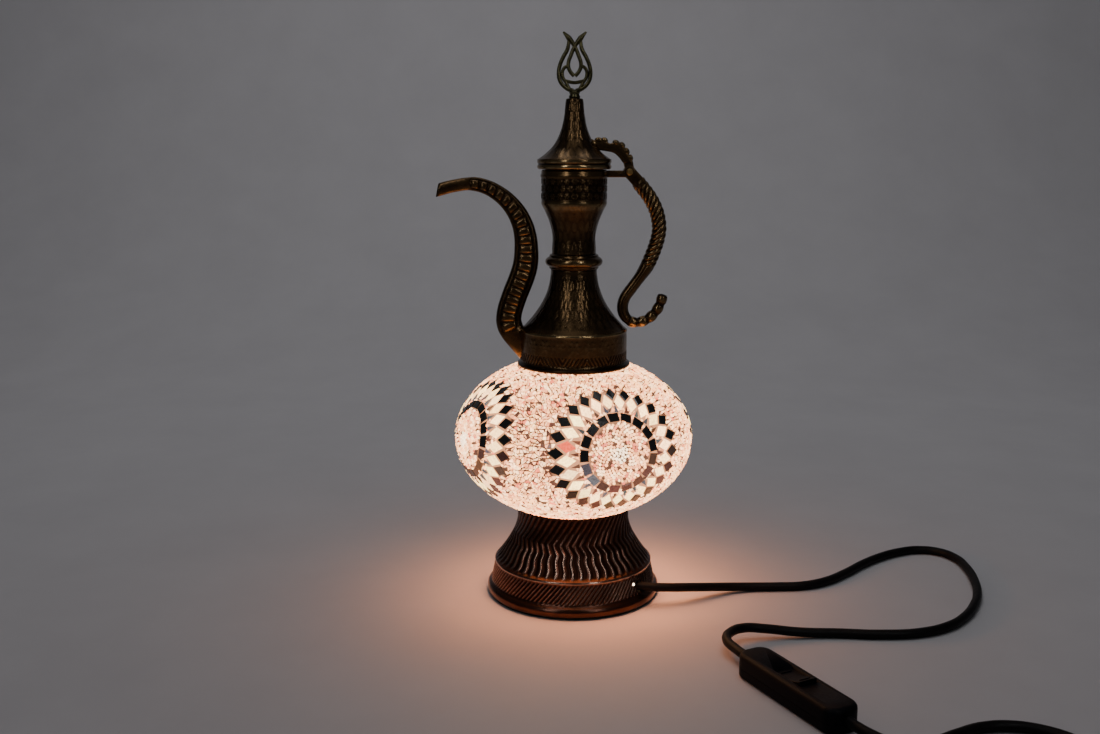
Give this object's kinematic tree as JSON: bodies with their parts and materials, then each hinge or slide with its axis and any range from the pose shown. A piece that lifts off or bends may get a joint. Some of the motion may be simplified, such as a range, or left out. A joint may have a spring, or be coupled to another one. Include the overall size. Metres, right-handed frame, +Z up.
{
  "type": "table lamp",
  "caption": "Table lamp shaped as a small ewer: fluted metal base, lit mosaic glass globe, ewer top with spout, rope handle, hinged lid and tulip finial, and a mains lead with rocker switch.",
  "frame": {"origin": "middle of the underside of the felt pad under the foot", "axes": "+Z up along the axis of the lamp, -X towards the spout, +X towards the handle, -Y towards the viewer"},
  "size_m": [0.3861, 0.4326, 0.3815],
  "materials": {
    "felt": "dense black felt",
    "copper": "antiqued copper, dark in the hollows",
    "bronze": "antiqued bronze, polished on the raised edges",
    "brass": "aged brass",
    "steel": "zinc plated",
    "black_plastic": "satin moulded",
    "cord": "smooth flexible sheath",
    "tie": "woven hook and loop band",
    "pin_metal": "nickel plated",
    "frosted_glass": "frosted blown glass",
    "mosaic": "glass tiles, seed beads and grout, lit from behind",
    "bulb": "opal glass, alight"
  },
  "bodies": {
    "lamp": {"felt_pad": "felt", "base_shell": "copper", "bottom_plate": "steel", "bridge_plate": "steel", "nipple": "steel", "nipple_nut": "steel", "lampholder_cap": "black_plastic", "lampholder_body": "black_plastic", "centre_contact": "brass", "bulb_cap": "steel", "bulb_glass": "bulb", "globe_glass": "frosted_glass", "globe_mosaic": "mosaic", "harp": "steel", "harp_stud": "steel", "stud_nut": "steel", "ewer_spider": "steel", "ewer_bell": "bronze", "neck_ring": "bronze", "ewer_neck": "bronze", "spout": "bronze", "handle": "bronze", "hinge_pin": "brass", "inner_cable": "cord", "cord_lamp": "cord", "switch_base": "black_plastic", "switch_cover": "black_plastic", "switch_screw_1": "steel", "switch_screw_2": "steel", "cord_mains": "cord", "cord_coil": "cord", "coil_tie": "tie", "cord_tail": "cord", "plug_relief": "cord", "plug_body": "black_plastic", "plug_pin_1": "pin_metal", "plug_pin_2": "pin_metal"},
    "lid": {"lid": "bronze", "lid_lever": "bronze", "finial": "brass"},
    "rocker": {"switch_rocker": "black_plastic"}
  },
  "joints": [
    {"name": "lid_hinge", "type": "hinge", "parent": "lamp", "child": "lid", "pos_m": [0.0365, 0, 0.29103], "axis": [0, 1, 0], "range_deg": [0, 55]},
    {"name": "rocker_pivot", "type": "hinge", "parent": "lamp", "child": "rocker", "pos_m": [0.1217, -0.1712, 0.012], "axis": [0.891, 0.454, 0], "range_deg": [0, 18]}
  ]
}
